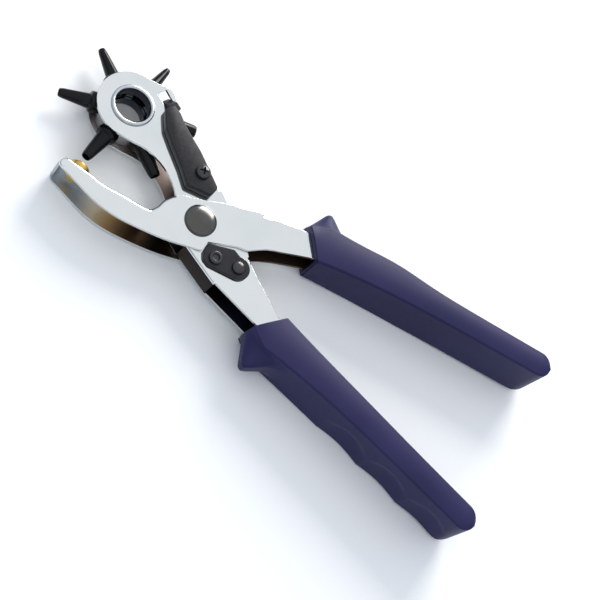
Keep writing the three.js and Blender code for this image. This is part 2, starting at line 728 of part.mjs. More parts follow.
// Moulded grip with a slanted mouth and a finger guard; the punch arm's has finger grooves on its outer side
function grip(handle, grooves) {
  const end = handle.length - gripEndRound;
  const grooveEnd = grooveFirst + groovePitch * grooveCount;
  const middle = grooves
    ? [...spread(20, grooveFirst, 3), ...spread(grooveFirst, grooveEnd, 6 * grooveCount)]
    : spread(20, end, 8);
  const stations = [
    ...spread(-8, 20, 16), ...middle.filter((s) => s < end - 1),
    ...spread(0, 84, 6).map((a) => end + gripEndRound * Math.sin(rad(a))),
  ].filter((s, i, all) => i === 0 || s > all[i - 1]);
  const placed = (s) => gripSection(handle, s, grooves).map(([t, h]) => [...onHandle(handle, s, t), h]);
  const mouth = corners([[-span, -1], [-1, -1], [1, 1], [-span, 1]].map(([s, k]) => {
    const t = k * span / 2;
    return onHandle(handle, Math.abs(s) === span ? s : mouthOffset - mouthSlant * t, t);
  }));
  const pocket = corners([
    ...[[-30, 4.4], ...tangOuter].map(([s, t]) => onHandle(handle, s, t + tangGap)),
    ...[...tangInner, [-30, -14]].map(([s, t]) => onHandle(handle, s, t - tangGap)),
    onHandle(handle, -60, 0),
  ]);
  const reach = slab(pocket, -punchHalf - tangGap, punchHalf + tangGap);
  return loft(stations.map(placed), handle.side)
    .subtract(slab(mouth, -mid * 2, mid * 2)).subtract(reach);
}

// The assembly
const pliers = new THREE.Group();
pliers.add(
  named('punch_arm', punchArm(), chrome),
  named('anvil_arm', anvilArm(), chrome),
  named('pivot_rivet', pivotRivet(), darkSteel),
  named('opening_spring', openingSpring(), springSteel),
  named('punch_wheel', punchWheel(), brightSteel),
  named('wheel_bush_front', wheelBush(1), brightSteel),
  named('wheel_bush_back', wheelBush(-1), brightSteel),
  named('lock_spring', lockSpring(), blackOxide),
  named('lock_screw', lockScrew(), blackOxide),
  named('lock_nut', lockNut(), blackOxide),
  named('stop_plate', stopPlate(), blackOxide),
  named('stop_screw', stopScrew(), blackOxide),
  named('stop_rivet', stopRivet(), blackOxide),
  named('anvil', anvil(), brass),
  named('grip_punch_arm', grip(punchHandle, true), vinyl),
  named('grip_anvil_arm', grip(anvilHandle, false), vinyl),
);
for (let i = 0; i < tubeCount; i += 1) {
  pliers.add(named(`punch_tube_${i + 1}`, punchTube(i), blackOxide));
}

export default pliers;
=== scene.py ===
# %% [markdown]
# # Revolving punch pliers
#
# The CAD model gives every piece its place and its body. This script gives each visible piece the form and
# the finish of the real one: pressed and chromed arms, turned tubes, a blackened leaf, moulded navy grips.
# Lengths are in millimetres in the CAD model's frame, and `U` turns them into metres when a mesh is made.
# The middle plane of the tool lies at height `MID`.

# %% The frame and shared sizes
import bpy
import bmesh
import numpy as np
from mathutils import Matrix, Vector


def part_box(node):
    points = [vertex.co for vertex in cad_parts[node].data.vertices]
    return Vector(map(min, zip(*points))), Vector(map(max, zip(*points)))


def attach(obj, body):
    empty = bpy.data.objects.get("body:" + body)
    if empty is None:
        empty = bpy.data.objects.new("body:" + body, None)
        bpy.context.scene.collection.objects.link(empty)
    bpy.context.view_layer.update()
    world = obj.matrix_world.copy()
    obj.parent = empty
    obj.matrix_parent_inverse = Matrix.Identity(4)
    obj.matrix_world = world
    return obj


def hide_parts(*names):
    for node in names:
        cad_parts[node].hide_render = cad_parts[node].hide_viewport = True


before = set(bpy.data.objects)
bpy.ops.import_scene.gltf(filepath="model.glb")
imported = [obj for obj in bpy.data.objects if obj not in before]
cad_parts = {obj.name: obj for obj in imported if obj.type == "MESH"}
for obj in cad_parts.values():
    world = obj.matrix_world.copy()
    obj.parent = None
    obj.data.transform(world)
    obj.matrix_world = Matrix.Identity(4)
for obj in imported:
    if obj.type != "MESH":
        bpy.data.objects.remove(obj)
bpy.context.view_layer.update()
scene = bpy.context.scene

U = 0.001
MID = 8.3

# The wheel: its centre, the first tube's direction, the number of tubes, and how far they and the rim reach
WHEEL = np.array([-47.3, 25.9, MID])
TUBE_PHASE, TUBE_COUNT, TUBE_REACH, RIM_REACH = 83.9, 6, 28.8, 13.1

# Sheet thickness, half the punch arm's width inside, half of each arm's width outside, and the gap between
# pieces that lie on one another
SHEET, INNER, PUNCH_HALF, ANVIL_HALF, SEAT = 1.2, 4.8, 6.0, 7.4, 0.1

# The jaw opens by OPEN degrees from where its anvil is BITE mm from the tube above it
OPEN, BITE = 5.5, 0.25


def bearing(degrees):
    """The level unit vector at an angle: (cos, sin, 0)."""
    return np.array([np.cos(np.radians(degrees)), np.sin(np.radians(degrees)), 0])


cos, sin, _ = bearing(OPEN)
shut = WHEEL[:2] + (TUBE_REACH + BITE) * bearing(TUBE_PHASE + 180)[:2]
ANVIL_FACE = np.array([[cos, -sin], [sin, cos]]) @ shut
ANVIL_UP = TUBE_PHASE + 360 + OPEN
print("nodes in the frame:", len(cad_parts), " anvil's face at", ANVIL_FACE.round(2))

# %% [markdown]
# ## Camera
#
# The photograph was taken from above and in front of the tool, with the camera rolled. Its place, direction
# and focal length were solved from points that both the photograph and the CAD model show.

# %% The camera
RIGHT = np.array([0.7960, 0.4225, 0.4335])
UP = np.array([-0.5790, 0.7410, 0.3400])
AHEAD = np.array([0.1776, 0.5215, -0.8345])
CAMERA_AT, LENS, SENSOR = np.array([-47.5, -290.2, 475.9]), 83.1, 36.0

camera = bpy.data.objects.new("camera", bpy.data.cameras.new("camera"))
scene.collection.objects.link(camera)
turn = np.eye(4)
turn[:3, 0], turn[:3, 1], turn[:3, 2], turn[:3, 3] = RIGHT, UP, -AHEAD, CAMERA_AT * U
camera.matrix_world = Matrix(turn.tolist())
camera.data.sensor_width, camera.data.lens = SENSOR, LENS
camera.data.clip_start = 0.01
scene.camera = camera
print("camera distance to the pivot:", np.linalg.norm(turn[:3, 3]).round(3), "m")

# %% [markdown]
# ## Materials
#
# Every finish is built from shader nodes in object coordinates, so its grain has a real size in metres.
# `Finish` holds one node tree and adds the parts that they share: noise, colour ramps, bump, and a rounded
# edge that catches light as every real edge does.

# %% A material in parts
class Finish:
    """A Principled material whose colour, roughness and bump are added node by node. Its edges look rounded
    to a radius of edge mm."""

    def __init__(self, name, color, roughness, metallic=0.0, edge=0.15):
        self.material = bpy.data.materials.new(name)
        self.material.use_nodes = True
        self.tree = self.material.node_tree
        self.shader = self.tree.nodes["Principled BSDF"]
        self.shader.inputs["Base Color"].default_value = (*color, 1.0)
        self.shader.inputs["Roughness"].default_value = roughness
        self.shader.inputs["Metallic"].default_value = metallic
        self.place = self.node("ShaderNodeTexCoord").outputs["Object"]
        self.normal = None
        if edge:
            bevel = self.node("ShaderNodeBevel")
            bevel.samples = 6
            bevel.inputs["Radius"].default_value = edge * U
            self.normal = bevel.outputs["Normal"]

    def node(self, kind, **links):
        """A new node, with each named input joined to an output."""
        made = self.tree.nodes.new(kind)
        for key, value in links.items():
            self.tree.links.new(value, made.inputs[key])
        return made

    def noise(self, per_metre, stretch=(1, 1, 1), detail=3.0, from_uv=False):
        """Noise with about per_metre features to the metre, times stretch along each axis."""
        source = self.node("ShaderNodeUVMap").outputs["UV"] if from_uv else self.place
        mapping = self.node("ShaderNodeMapping", Vector=source)
        mapping.inputs["Scale"].default_value = [per_metre * s for s in stretch]
        noise = self.node("ShaderNodeTexNoise", Vector=mapping.outputs["Vector"])
        noise.inputs["Scale"].default_value = 1.0
        noise.inputs["Detail"].default_value = detail
        return noise.outputs["Fac"]

    def ramp(self, value, stops):
        """Maps a value through colour stops of (position, colour)."""
        ramp = self.node("ShaderNodeValToRGB", Fac=value)
        while len(ramp.color_ramp.elements) < len(stops):
            ramp.color_ramp.elements.new(0.5)
        for element, (position, color) in zip(ramp.color_ramp.elements, stops):
            element.position = position
            element.color = (*color, 1.0)
        return ramp.outputs["Color"]

    def color(self, value, stops):
        """Base colour: a value mapped through colour stops."""
        self.tree.links.new(self.ramp(value, stops), self.shader.inputs["Base Color"])
        return self

    def rough(self, value, low, high):
        """Roughness between low and high as the value goes from 0.3 to 0.7."""
        mapped = self.node("ShaderNodeMapRange", Value=value)
        for key, number in zip(("From Min", "From Max", "To Min", "To Max"), (0.3, 0.7, low, high)):
            mapped.inputs[key].default_value = number
        self.tree.links.new(mapped.outputs["Result"], self.shader.inputs["Roughness"])
        return self

    def bump(self, value, height_mm, strength=1.0):
        """Raises the surface by height_mm where the value is 1, on top of any bump before."""
        links = {"Height": value}
        if self.normal is not None:
            links["Normal"] = self.normal
        bump = self.node("ShaderNodeBump", **links)
        bump.inputs["Strength"].default_value = strength
        bump.inputs["Distance"].default_value = height_mm * U
        self.normal = bump.outputs["Normal"]
        return self

    def math(self, operation, *values):
        """A Math node over links or plain numbers."""
        made = self.node("ShaderNodeMath")
        made.operation = operation
        for socket, value in zip(made.inputs, values):
            if isinstance(value, (int, float)):
                socket.default_value = value
            else:
                self.tree.links.new(value, socket)
        return made.outputs[0]

    def parts(self, output):
        """x, y and z of the object's own coordinates ("Object") or of the surface's direction ("Normal")."""
        source = self.node("ShaderNodeTexCoord").outputs[output]
        return self.node("ShaderNodeSeparateXYZ", Vector=source).outputs

    def blend(self, share, plain, other):
        """Base colour: plain where share is 0, other where it is 1."""
        mix = self.node("ShaderNodeMix")
        mix.data_type = "RGBA"
        for name, value in (("Factor_Float", share), ("A_Color", plain), ("B_Color", other)):
            self.tree.links.new(value, next(i for i in mix.inputs if i.identifier == name))
        result = next(o for o in mix.outputs if o.identifier == "Result_Color")
        self.tree.links.new(result, self.shader.inputs["Base Color"])
        return self

    def done(self):
        """The material, with its last bump on the shader."""
        if self.normal is not None:
            self.tree.links.new(self.normal, self.shader.inputs["Normal"])
        return self.material

# %% [markdown]
# ### Metals
#
# - Chrome plate on pressed sheet: bright and faintly wavy. The walls that face into a channel are dull, and
#   their colour is painted shade and painted reflection: brown, and nearly black towards the pivot.
# - Nickel plated turned steel and brass: tool marks run round the piece, so they follow its UV map. Inside
#   the wheel's bore the steel is painted dark, as painted shade.
# - Blackened steel: a dark satin skin, clouded where hands and the wheel rub it.

# %% Chrome plate
PAINTED_SPAN, WALL_MARGIN, OPEN_SIDE, WALL_DULL = 60, 0.1, -0.25, 0.32


def chrome(name, inner, painted_stops):
    """inner: half the width inside the channel, in mm. The last argument gives (x in mm, colour) stops of
    painted shade and painted reflection along the channel's inside. A point is inside where its surface
    faces the middle plane, so that height above that plane times the z of its direction is below -inner / 2.
    It is inside too where it lies between the cheeks and faces the open side of the channel, which is -Y on
    both arms."""
    made = Finish(name, (0.72, 0.75, 0.76), 0.1, metallic=1.0, edge=0.2)
    place, facing = made.parts("Object"), made.parts("Normal")
    height = made.math("SUBTRACT", place["Z"], MID * U)
    inward = made.math("LESS_THAN", made.math("MULTIPLY", height, facing["Z"]), -0.5 * inner * U)
    between = made.math("LESS_THAN", made.math("ABSOLUTE", height), (inner - WALL_MARGIN) * U)
    # Walls between the cheeks that face the open side, such as the flange, get painted shade too.
    open_side = made.math("LESS_THAN", facing["Y"], OPEN_SIDE)
    inside = made.math("MAXIMUM", inward, made.math("MULTIPLY", between, open_side))
    # Painted shade and painted reflection on the channel's inside: its colour follows stops along x.
    along = made.node("ShaderNodeMapRange", Value=place["X"])
    along.inputs["From Min"].default_value = -PAINTED_SPAN * U
    along.inputs["From Max"].default_value = PAINTED_SPAN * U
    stops = [((x + PAINTED_SPAN) / (2 * PAINTED_SPAN), color) for x, color in painted_stops]
    painted_shade_and_reflection = made.ramp(along.outputs["Result"], stops)
    plate = made.ramp(made.noise(60, detail=4), [(0.3, (0.715, 0.74, 0.735)), (0.7, (0.76, 0.775, 0.765))])
    made.blend(inside, plate, painted_shade_and_reflection)
    dull = made.math("MULTIPLY", inside, WALL_DULL)
    gloss = made.math("MULTIPLY_ADD", made.noise(200, detail=4), 0.1, 0.06)
    made.tree.links.new(made.math("ADD", gloss, dull), made.shader.inputs["Roughness"])
    return made.bump(made.noise(120, detail=1), 0.012, 0.3).done()


# Stops of painted shade and painted reflection: grey and gold towards the nose, nearly black towards the
# pivot, bluish where the grip is reflected.
CHROME = {
    "punch_arm": chrome("chrome of the punch arm", PUNCH_HALF - SHEET, [
        (-50, (0.46, 0.40, 0.38)), (-12, (0.40, 0.32, 0.29)), (0, (0.04, 0.028, 0.022)),
        (20, (0.022, 0.017, 0.017)), (34, (0.05, 0.055, 0.10)),
    ]),
    "anvil_arm": chrome("chrome of the anvil arm", ANVIL_HALF - SHEET, [
        (-56, (0.55, 0.58, 0.60)), (-45, (0.50, 0.52, 0.53)), (-36, (0.85, 0.80, 0.70)),
        (-29, (0.70, 0.56, 0.36)), (-20, (0.22, 0.14, 0.085)), (-8, (0.03, 0.022, 0.018)),
        (28, (0.12, 0.08, 0.055)),
    ]),
}
print("chrome on:", ", ".join(CHROME))

# %% Turned and blackened metals
WHEEL_BORE, BUSH_BORE = 8.5, 7.3


def turned_metal(name, color, low, high, mark=0.004, bore=0):
    """Roughness from low to high and bumps of mark mm follow tool marks: noise with 7000 to 9000 features to
    the metre along the piece and 20 to 40 round it. Within bore mm of the wheel's axis, where
    (x - cx)^2 + (y - cy)^2 < bore^2, the metal is painted dark: painted shade inside the bore."""
    made = Finish(name, color, low, metallic=1.0, edge=0.12)
    tint = made.noise(500, detail=4)
    plain = made.ramp(tint, [(0.3, [c * 0.86 for c in color]), (0.7, color)])
    # Painted shade: the steel is dark inside the bore, within bore mm of the wheel's axis.
    painted_shade_and_reflection = made.ramp(tint, [(0.3, (0.055, 0.06, 0.075)), (0.7, (0.10, 0.11, 0.13))])
    place = made.parts("Object")
    across = [made.math("POWER", made.math("SUBTRACT", place[k], float(WHEEL[k] * U)), 2.0) for k in (0, 1)]
    squared = made.math("ADD", *across)
    made.blend(made.math("LESS_THAN", squared, (bore * U) ** 2), plain, painted_shade_and_reflection)
    made.rough(made.noise(1, (40, 9000, 1), from_uv=True), low, high)
    return made.bump(made.noise(1, (20, 7000, 1), from_uv=True), mark, 0.6).done()


def blackened(name, color, low, high, specular=0.5):
    """A dark skin that goes from 0.72 to 1.5 times its colour with the wear, under a fine grain."""
    made = Finish(name, color, low, metallic=0.55)
    made.shader.inputs["Specular IOR Level"].default_value = specular
    wear = made.noise(350, detail=6)
    made.color(wear, [(0.25, [c * 0.72 for c in color]), (0.6, color), (0.85, [c * 1.5 for c in color])])
    made.rough(made.noise(1400, detail=5), low, high)
    return made.bump(made.noise(2600, detail=4), 0.006, 0.5).done()


METALS = {
    "bright_steel": turned_metal("nickel", (0.60, 0.62, 0.63), 0.14, 0.26, bore=BUSH_BORE + 0.15),
    "spring_steel": turned_metal("spring wire", (0.34, 0.35, 0.36), 0.25, 0.4),
    "dark_steel": turned_metal("burnished rivet", (0.10, 0.099, 0.093), 0.13, 0.22, 0.003),
    "brass": turned_metal("brass", (0.68, 0.45, 0.12), 0.18, 0.32),
    "black_oxide": blackened("blackened steel", (0.018, 0.018, 0.021), 0.26, 0.38, 0.38),
}
TUBE_BLACK = blackened("blackened tube", (0.009, 0.009, 0.010), 0.14, 0.26, 0.3)
SCREW_BLACK = blackened("blackened screw", (0.05, 0.05, 0.053), 0.12, 0.22)
WHEEL_STEEL = turned_metal("wheel steel", (0.30, 0.31, 0.33), 0.1, 0.2, bore=WHEEL_BORE + 0.2)
print("metals:", ", ".join(METALS))

# %% [markdown]
# ### Moulded vinyl
#
# The grips are navy, satin and very finely grained, with faint clouding where the mould's skin was rubbed.

# %% Navy vinyl
def vinyl():
    """Clouds of about 20 mm in the colour and a grain of 0.4 mm in the gloss and the bump."""
    made = Finish("navy vinyl", (0.015, 0.014, 0.069), 0.46, edge=0.5)
    made.color(made.noise(45, detail=5), [(0.3, (0.013, 0.012, 0.063)), (0.7, (0.018, 0.016, 0.076))])
    made.rough(made.noise(2400, detail=2), 0.40, 0.52)
    made.shader.inputs["Specular IOR Level"].default_value = 0.22
    return made.bump(made.noise(2600, detail=2), 0.012, 0.5).done()


VINYL = vinyl()
print("grips:", VINYL.name)

# %% [markdown]
# ## Tools for pieces
#
# A turned or moulded piece is a skin over rings of points: `skin` takes an array of rings, each with the
# same number of points, and joins every ring to the next. Its UV map runs round the piece in U and along it
# in V, both in metres.

# %% Skins over rings
def new_object(name, mesh):
    """An object at the origin, so the piece's place is in its mesh."""
    made = bpy.data.objects.new(name, mesh)
    scene.collection.objects.link(made)
    return made


def tidy_mesh(mesh, angle=32, merge=1e-7):
    """Joins points that coincide, turns the faces outwards and keeps edges sharp above the angle."""
    work = bmesh.new()
    work.from_mesh(mesh)
    bmesh.ops.remove_doubles(work, verts=work.verts, dist=merge)
    bmesh.ops.recalc_face_normals(work, faces=work.faces)
    work.to_mesh(mesh)
    work.free()
    mesh.shade_smooth()
    mesh.set_sharp_from_angle(angle=np.radians(angle))


def skin(name, rings, closed=False, angle=32):
    """rings: (rows, columns, 3) in mm. Quads join row i to i + 1 and column j to j + 1, which wraps round.
    The two ends get a face each, unless closed joins the last ring to the first."""
    rows, columns, _ = rings.shape
    spans = rows if closed else rows - 1
    i, j = np.meshgrid(np.arange(spans), np.arange(columns), indexing="ij")
    after, beside = (i + 1) % rows, (j + 1) % columns
    here, there = i * columns, after * columns
    quads = np.stack([here + j, here + beside, there + beside, there + j], -1)
    faces = quads.reshape(-1, 4).tolist()
    if not closed:
        faces += [list(range(columns))[::-1], list(range((rows - 1) * columns, rows * columns))]
    mesh = bpy.data.meshes.new(name)
    mesh.from_pydata((rings.reshape(-1, 3) * U).tolist(), [], faces)
    step = np.linalg.norm(np.diff(rings, axis=0, append=rings[:1]), axis=2).mean(axis=1)
    along = np.concatenate([[0], np.cumsum(step)])
    girth = np.linalg.norm(np.diff(rings, axis=1, append=rings[:, :1]), axis=2).sum(axis=1).mean()
    u = np.stack([j, j + 1, j + 1, j], -1) * girth / columns * U
    v = np.stack([along[i], along[i], along[i + 1], along[i + 1]], -1) * U
    uv = np.zeros((len(mesh.loops), 2))
    uv[:u.size, 0], uv[:u.size, 1] = u.ravel(), v.ravel()
    mesh.uv_layers.new(name="UVMap").data.foreach_set("uv", uv.ravel())
    tidy_mesh(mesh, angle)
    return new_object(name, mesh)

# %% [markdown]
# A lathe cuts most of the small pieces, so `turned` carries a profile round an axis. No real edge is sharp:
# `filleted` rounds the profile's corners first. `placed` then puts the piece where it belongs.

# %% Turned pieces
def filleted(profile, radius, steps=4):
    """Cuts each corner of an open [r, h] profile with a curve: a quadratic from one side to the other, which
    starts and ends radius away from the corner, or 0.45 of the side where the side is short."""
    points = np.array(profile, float)
    apart = np.linalg.norm(np.diff(points, axis=0), axis=1) > 1e-6
    points = points[np.concatenate([[True], apart])]
    out = [points[:1]]
    for before, corner, after in zip(points, points[1:], points[2:]):
        to_before, to_after = before - corner, after - corner
        near, far = np.linalg.norm(to_before), np.linalg.norm(to_after)
        reach = min(radius, near * 0.45, far * 0.45)
        a, b = corner + to_before / near * reach, corner + to_after / far * reach
        t = np.linspace(0, 1, steps)[:, None]
        out.append((1 - t) ** 2 * a + 2 * t * (1 - t) * corner + t ** 2 * b)
    return np.concatenate(out + [points[-1:]])


def placed(points, x_axis, z_axis, origin):
    """Moves points from a piece's own frame to the model's: columns of the turn are its x, y and z axes."""
    x, z = np.array(x_axis, float), np.array(z_axis, float)
    return points @ np.stack([x, np.cross(z, x), z]) + np.array(origin, float)


def turned(name, profile, place, radius=0.15, sides=96, closed=False):
    """Surface of revolution: x = r cos a, y = r sin a, z = h, for each [r, h] of the rounded profile."""
    loop = profile + profile[:1] if closed else profile
    line = filleted(loop, radius)
    line = line[:-1] if closed else line
    a = np.linspace(0, 2 * np.pi, sides, endpoint=False)
    r, h = line[:, :1], np.repeat(line[:, 1:], sides, 1)
    rings = np.stack([r * np.cos(a), r * np.sin(a), h], -1)
    return skin(name, placed(rings, *place), closed)


def upright(x, y):
    """The place of a piece with its axis upright through (x, y) and its heights from the middle plane."""
    return ((1, 0, 0), (0, 0, 1), (x, y, MID))

# %% [markdown]
# Holes and recesses are cut by an exact boolean that is applied at once. `settle` is the last step for every
# piece: it gives the finish, hides the CAD node that the piece stands for and hangs the piece on an empty
# for what it moves with.

# %% Cuts and finish
def carve(target, cutters):
    """Cuts closed pieces out of target by an exact boolean, applies it and removes the cutters."""
    for cutter in cutters:
        cut = target.modifiers.new("cut", "BOOLEAN")
        cut.operation, cut.solver, cut.object = "DIFFERENCE", "EXACT", cutter
    shape = target.evaluated_get(bpy.context.evaluated_depsgraph_get())
    mesh = bpy.data.meshes.new_from_object(shape)
    target.modifiers.clear()
    target.data = mesh
    for cutter in cutters:
        bpy.data.objects.remove(cutter)
    tidy_mesh(mesh)
    return target


def settle(piece, node, body, slot, material=None):
    """Gives a piece its finish, hides the CAD node it stands for and hangs it on the empty of the body it
    rides on.
    """
    piece.data.materials.clear()
    piece.data.materials.append(material or METALS[slot])
    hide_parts(node)
    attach(piece, body)
    print(f"{piece.name}: {len(piece.data.polygons)} faces, {slot}, rides on {body}")

# %% [markdown]
# ## Pressed arms and flat pieces
#
# The arms' outlines, folds and holes come from copies of the CAD model, because a press cuts them that way.
# A fold is drawn there with a few facets, and plain smooth shading would let their tilt leak across the flat
# cheeks as streaks. `flat_light` prevents that: each corner on a cheek gets a level normal, and so does the
# fold where it starts.

# %% Light on pressed sheet
CHEEK_TILT, FOLD_TILT = 14.5, 40


def flat_light(mesh):
    """Corner normals. A face within CHEEK_TILT degrees of level is a cheek, with a level normal at each
    corner. A fold's face that touches a cheek, and turns less than FOLD_TILT degrees from level, starts with
    a level normal there; every other corner keeps the smooth one."""
    def read(items, name, size):
        values = np.empty(len(items) * size)
        items.foreach_get(name, values)
        return values.reshape(-1, size)

    normals = read(mesh.corner_normals, "vector", 3)
    point = read(mesh.loops, "vertex_index", 1).astype(int).ravel()
    corners = read(mesh.polygons, "loop_total", 1).astype(int).ravel()
    own = np.repeat(read(mesh.polygons, "normal", 3), corners, axis=0)
    for side in (1, -1):
        level = side * own[:, 2]
        cheek = level > np.cos(np.radians(CHEEK_TILT))
        touched = np.zeros(len(mesh.vertices), bool)
        touched[point[cheek]] = True
        near = touched[point] & (level > np.cos(np.radians(FOLD_TILT)))
        normals[near | cheek] = (0, 0, side)
    mesh.normals_split_custom_set(normals.tolist())

# %% [markdown]
# Two places are moved to where the photograph shows them: the punch arm's inner edge behind the pivot and
# the anvil arm's nose. Points move level only, so the sheet keeps its thickness.

# %% The two edges
STOP_RIVET = (22.6, -7.3)
TAIL_AT, TAIL_SPREAD, TAIL_PUSH = (23.0, -3.0), 9.8, (1.4, 4.2)
HOLE_KEPT, FOLD_KEPT = 1.6, -9
NOSE_PUSH, NOSE_FROM, NOSE_FADE, HEAD_FROM = 1.2, 4.6, 3, -45


def wider_tail(points):
    """Moves the punch arm's inner edge behind the pivot by TAIL_PUSH exp(-(d / TAIL_SPREAD)^2), d being the
    distance from TAIL_AT. The stop rivet's hole stays, and so does the fold, which is below FOLD_KEPT."""
    flat = points[:, :2]
    share = np.exp(-((flat - TAIL_AT) ** 2).sum(1) / TAIL_SPREAD ** 2)
    share[(np.linalg.norm(flat - STOP_RIVET, axis=1) < HOLE_KEPT) | (flat[:, 1] < FOLD_KEPT)] = 0
    points[:, :2] += share[:, None] * TAIL_PUSH


def shorter_nose(points):
    """Moves the anvil arm's nose back. The move grows from 0 at NOSE_FROM mm past the anvil's middle to
    NOSE_PUSH at NOSE_FADE mm further on. Only the head moves, where x is below HEAD_FROM."""
    x, y, _ = bearing(ANVIL_UP)
    axis = np.array([y, -x])
    past = -((points[:, :2] - ANVIL_FACE) @ axis)
    share = np.clip((past - NOSE_FROM) / NOSE_FADE, 0, 1)
    points[:, :2] += NOSE_PUSH * share[:, None] * axis * (points[:, :1] < HEAD_FROM)


print("tail moves by up to", np.hypot(*TAIL_PUSH).round(1), "mm, nose by", NOSE_PUSH, "mm")

# %% [markdown]
# A node's mesh is loose triangles, so its copy is joined into one skin. The corner normals that came with
# the triangles mean nothing once they are joined, so they go first.

# %% Pressed arms, nut and plate
def pressed(node, body, slot, reshape=None):
    """A copy of a node's mesh in the model's frame: reshaped, joined into one skin, and lit as sheet."""
    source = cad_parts[node]
    mesh = source.data.copy()
    mesh.name = node + "_form"
    mesh.transform(source.matrix_world)
    if "custom_normal" in mesh.attributes:
        mesh.attributes.remove(mesh.attributes["custom_normal"])
    if reshape:
        points = np.empty(len(mesh.vertices) * 3)
        mesh.vertices.foreach_get("co", points)
        points = points.reshape(-1, 3) / U
        reshape(points)
        mesh.vertices.foreach_set("co", (points * U).ravel())
    tidy_mesh(mesh, angle=33, merge=2e-6)
    flat_light(mesh)
    settle(new_object(node + "_form", mesh), node, body, slot, CHROME.get(node))


pressed("punch_arm", "punch_arm_body", "chrome", wider_tail)
pressed("anvil_arm", "anvil_arm_body", "chrome", shorter_nose)
for node in ("lock_nut", "stop_plate"):
    pressed(node, "punch_arm_body", "black_oxide")

# %% [markdown]
# ## Lock spring
#
# The leaf is a blackened steel pressing with softly broken edges, held by one screw. Its dark side wall
# stands well above the cheek, so its body is higher here than in the CAD model. Its narrow end is bent
# through the window, down to the wheel's rim. The plate is a skin over copies of its outline: each is drawn
# in a little and raised a little along a quarter circle, at the lower rim and again at the upper one.

# %% A plate with soft edges
SHARPEST = 0.4


def drawn_in(outline, by):
    """The outline moved inwards by a distance: each point goes along the mean of its two sides' normals,
    lengthened so that both sides move by the same amount. SHARPEST limits that at a very sharp corner."""
    along = np.roll(outline, -1, 0) - outline
    along /= np.linalg.norm(along, axis=1, keepdims=True)
    inward = np.stack([-along[:, 1], along[:, 0]], 1)
    mean = inward + np.roll(inward, 1, 0)
    return outline + by * mean / np.maximum((mean * inward).sum(1, keepdims=True), SHARPEST)


def plate(name, outline, low, high, edge=0.3, steps=5):
    """outline: (n, 2) in mm, anticlockwise. Heights are from the middle plane. Rims are quarter circles:
    drawn in by edge (1 - sin a) at height edge (1 - cos a) below, and the same upside down above."""
    turns = np.linspace(0, np.pi / 2, steps)
    rims = [(edge * (1 - np.sin(a)), low + edge * (1 - np.cos(a))) for a in turns]
    rims += [(edge * (1 - np.cos(a)), high - edge * (1 - np.sin(a))) for a in turns]
    rings = [np.column_stack([drawn_in(outline, by), np.full(len(outline), z + MID)]) for by, z in rims]
    return skin(name, np.array(rings), angle=50)


def rounded(points, radius, steps=5):
    """A closed outline with its corners cut back by a quadratic curve, as filleted does for a profile."""
    loop = np.array([*points, points[0], points[1]], float)
    return filleted(loop, radius, steps)[1:-1]

# %% The leaf
LEAF = [(-36.2, 32.0), (-31.7, 25.0), (-25.5, 20.0), (-18.3, 14.5), (-12.2, 9.0), (-1.9, 11.5), (-1.3, 16.2),
        (-11.3, 23.1), (-15.5, 25.9), (-20.3, 28.3), (-26.3, 31.7), (-30.3, 34.7), (-34.3, 36.1)]
LEAF_HEIGHT, LEAF_CORNER = 3.0, 0.9
low = PUNCH_HALF + SEAT
high = low + LEAF_HEIGHT
leaf = plate("lock_spring_form", rounded(LEAF, LEAF_CORNER), low, high)
print("leaf stands", round(high - PUNCH_HALF, 2), "mm above the cheek")

# %% [markdown]
# The nose is a thick bent strip, as wide throughout: an outline of eight corners seen from the side, drawn
# out to its width. It starts inside the leaf's narrow end and goes down by the rim.

# %% The leaf's nose
TONGUE_CLEAR, TONGUE_FROM, TONGUE_ANGLE = 2.8, 43.7, 151.0
TONGUE_HALF, TONGUE_FALL, TONGUE_CORNER = 1.95, 2.8, 0.25
foot = WHEEL + (RIM_REACH + TONGUE_CLEAR) * bearing(TONGUE_FROM)
tip = INNER - 1.6
bend = [[-4.2, low], [-1.8, low], [1.5, low - TONGUE_FALL], [1.5, tip], [2.9, tip],
        [2.9, low - TONGUE_FALL + 1.1], [-1.2, high - 0.3], [-4.2, high - 0.1]]
profile = rounded(bend, TONGUE_CORNER, 4)
sides = [np.insert(profile, 1, y, axis=1) for y in (-TONGUE_HALF, TONGUE_HALF)]
tongue = skin("lock_spring_nose", placed(np.array(sides), bearing(TONGUE_ANGLE), (0, 0, 1), foot))
settle(leaf, "lock_spring", "punch_arm_body", "black_oxide")
settle(tongue, "lock_spring", "punch_arm_body", "black_oxide")

# %% [markdown]
# ## Wheel and bushes
#
# The wheel is a turned ring, drilled six times for the tubes' stubs and spot faced for their collars. It
# turns on a flanged bush in each cheek.

# %% The wheel
RIM_HALF, RIM_SEAT, RIM_BEVEL = 4.5, 12.6, 0.6
STUB, STUB_PLAY, COLLAR, COLLAR_PLAY, COLLAR_LENGTH = 3.1, 0.15, 4.4, 0.25, 3.7


def radial(index):
    """The place of a piece on the wheel: its axis leaves the centre at TUBE_PHASE + 60 index degrees."""
    return ((0, 0, -1), bearing(TUBE_PHASE + index * 360 / TUBE_COUNT), WHEEL)


